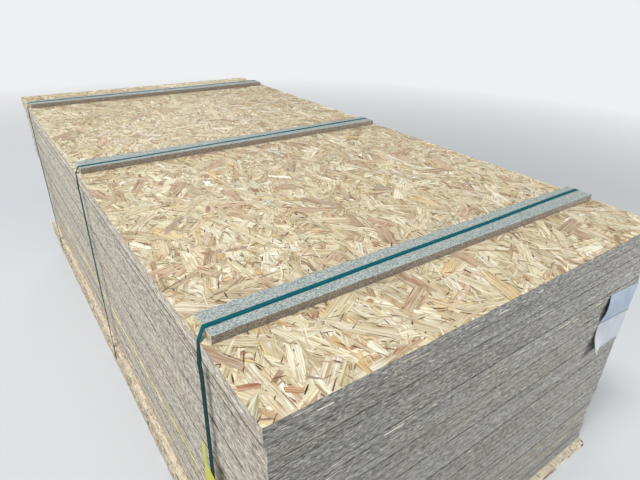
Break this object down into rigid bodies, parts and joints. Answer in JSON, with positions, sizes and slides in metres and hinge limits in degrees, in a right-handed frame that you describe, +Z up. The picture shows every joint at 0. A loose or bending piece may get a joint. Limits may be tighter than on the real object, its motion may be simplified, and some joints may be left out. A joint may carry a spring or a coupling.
{
  "type": "stack of osb panels",
  "caption": "Strapped pack of oriented strand board panels with wood battens across the top, standing on loose panels of the same kind.",
  "frame": {"origin": "centre of the underside of the lowest panel", "axes": "+X across the panels to the label's side, +Y along the panels away from the label's end, +Z up"},
  "size_m": [1.271, 2.5278, 0.8998],
  "materials": {
    "osb": "pressed wood strands, sawn edges",
    "particleboard": "raw grey particleboard",
    "strap": "embossed teal PET strapping",
    "label": "matt white paper",
    "tag": "lime-yellow plastic film"
  },
  "bodies": {
    "root": {"batten_far": "particleboard", "batten_middle": "particleboard", "batten_near": "particleboard", "label_sheet": "label", "panel_01": "osb", "panel_02": "osb", "panel_03": "osb", "panel_04": "osb", "panel_05": "osb", "panel_06": "osb", "panel_07": "osb", "panel_08": "osb", "panel_09": "osb", "panel_10": "osb", "panel_11": "osb", "panel_12": "osb", "panel_13": "osb", "panel_14": "osb", "panel_15": "osb", "panel_16": "osb", "panel_17": "osb", "panel_18": "osb", "panel_19": "osb", "panel_20": "osb", "panel_21": "osb", "panel_22": "osb", "panel_23": "osb", "panel_24": "osb", "panel_25": "osb", "panel_26": "osb", "panel_27": "osb", "panel_28": "osb", "panel_29": "osb", "panel_30": "osb", "panel_31": "osb", "panel_32": "osb", "panel_33": "osb", "panel_34": "osb", "panel_35": "osb", "panel_36": "osb", "panel_37": "osb", "panel_38": "osb", "panel_39": "osb", "panel_40": "osb", "strap_far": "strap", "strap_middle": "strap", "strap_near": "strap", "strap_tag": "tag"}
  },
  "joints": []
}
